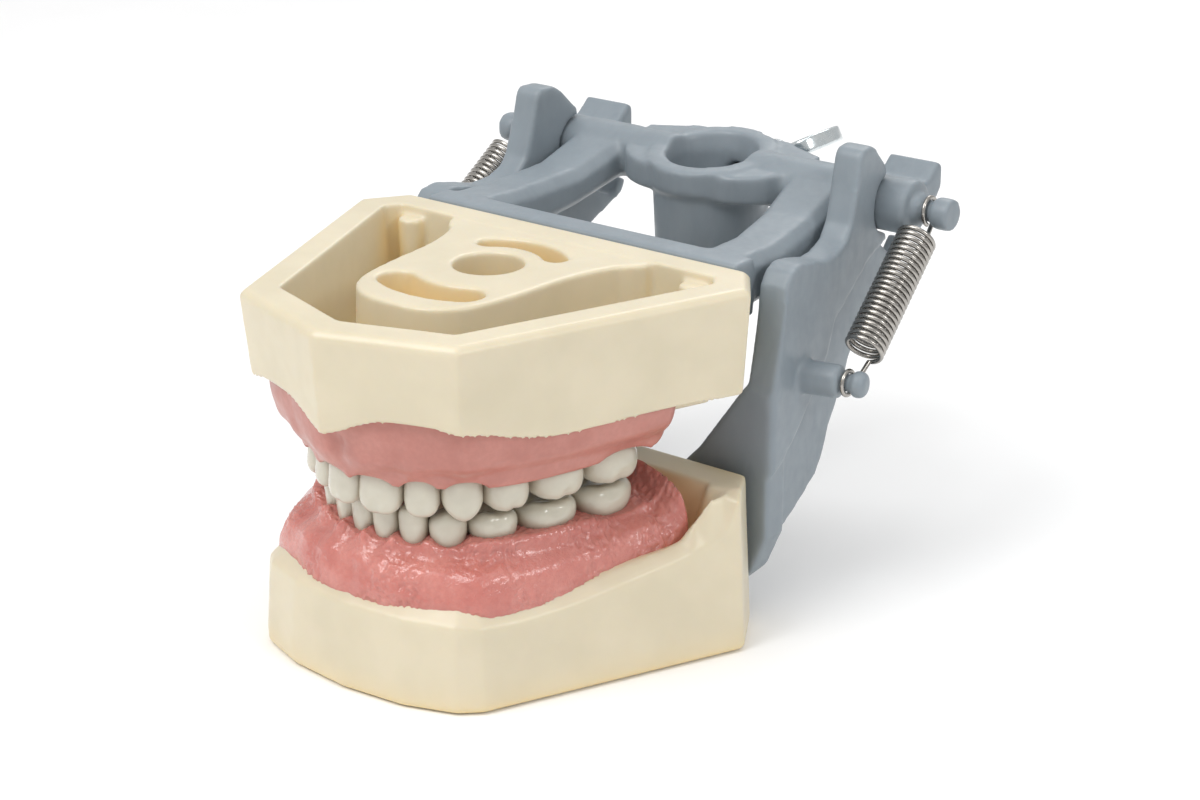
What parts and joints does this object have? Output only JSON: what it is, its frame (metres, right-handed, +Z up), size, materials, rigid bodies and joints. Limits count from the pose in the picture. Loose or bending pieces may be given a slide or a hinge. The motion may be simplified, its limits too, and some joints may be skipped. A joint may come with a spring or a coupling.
{
  "type": "typodont model",
  "caption": "Dental typodont on a hinged articulator frame: ivory bases with pink gums and screwed-in teeth, two springs and a wing screw.",
  "frame": {"origin": "middle of the model's footprint box, on the surface that the lower base stands on", "axes": "+Z up, +X to the patient's left, +Y towards the hinge, -Y towards the incisors"},
  "size_m": [0.0832, 0.1074, 0.0603],
  "materials": {
    "base_ivory": "satin moulded ivory resin",
    "gum_pink": "glossy pink resin with fine stippling",
    "tooth_enamel": "glossy off-white melamine resin",
    "frame_grey": "satin blue-grey moulded plastic",
    "spring_steel": "drawn spring wire",
    "screw_steel": "turned steel",
    "bright_zinc": "bright zinc plate"
  },
  "bodies": {
    "lower": {"lower_frame": "frame_grey", "lower_base": "base_ivory", "lower_gingiva": "gum_pink", "lower_mount_screw": "screw_steel", "left_spring": "spring_steel", "right_spring": "spring_steel", "lower_left_central_incisor": "tooth_enamel", "lower_left_lateral_incisor": "tooth_enamel", "lower_left_canine": "tooth_enamel", "lower_left_first_molar": "tooth_enamel", "lower_left_second_molar": "tooth_enamel", "lower_left_permanent_molar": "tooth_enamel", "lower_right_central_incisor": "tooth_enamel", "lower_right_lateral_incisor": "tooth_enamel", "lower_right_canine": "tooth_enamel", "lower_right_first_molar": "tooth_enamel", "lower_right_second_molar": "tooth_enamel", "lower_right_permanent_molar": "tooth_enamel", "lower_left_central_incisor_screw": "screw_steel", "lower_left_lateral_incisor_screw": "screw_steel", "lower_left_canine_screw": "screw_steel", "lower_left_first_molar_screw": "screw_steel", "lower_left_second_molar_screw": "screw_steel", "lower_left_permanent_molar_screw": "screw_steel", "lower_right_central_incisor_screw": "screw_steel", "lower_right_lateral_incisor_screw": "screw_steel", "lower_right_canine_screw": "screw_steel", "lower_right_first_molar_screw": "screw_steel", "lower_right_second_molar_screw": "screw_steel", "lower_right_permanent_molar_screw": "screw_steel"},
    "upper": {"upper_frame": "frame_grey", "upper_base": "base_ivory", "upper_gingiva": "gum_pink", "upper_mount_screw": "screw_steel", "upper_left_central_incisor": "tooth_enamel", "upper_left_lateral_incisor": "tooth_enamel", "upper_left_canine": "tooth_enamel", "upper_left_first_molar": "tooth_enamel", "upper_left_second_molar": "tooth_enamel", "upper_left_permanent_molar": "tooth_enamel", "upper_right_central_incisor": "tooth_enamel", "upper_right_lateral_incisor": "tooth_enamel", "upper_right_canine": "tooth_enamel", "upper_right_first_molar": "tooth_enamel", "upper_right_second_molar": "tooth_enamel", "upper_right_permanent_molar": "tooth_enamel", "upper_left_central_incisor_screw": "screw_steel", "upper_left_lateral_incisor_screw": "screw_steel", "upper_left_canine_screw": "screw_steel", "upper_left_first_molar_screw": "screw_steel", "upper_left_second_molar_screw": "screw_steel", "upper_left_permanent_molar_screw": "screw_steel", "upper_right_central_incisor_screw": "screw_steel", "upper_right_lateral_incisor_screw": "screw_steel", "upper_right_canine_screw": "screw_steel", "upper_right_first_molar_screw": "screw_steel", "upper_right_second_molar_screw": "screw_steel", "upper_right_permanent_molar_screw": "screw_steel"},
    "wing": {"wing_screw": "bright_zinc"}
  },
  "joints": [
    {"name": "jaw_hinge", "type": "hinge", "parent": "lower", "child": "upper", "pos_m": [0, 0.0308, 0.0508], "axis": [-1, 0, 0], "range_deg": [0, 50]},
    {"name": "wing_turn", "type": "hinge", "parent": "upper", "child": "wing", "pos_m": [0, 0.0423, 0.0486], "axis": [0, 1, 0], "continuous": true}
  ]
}
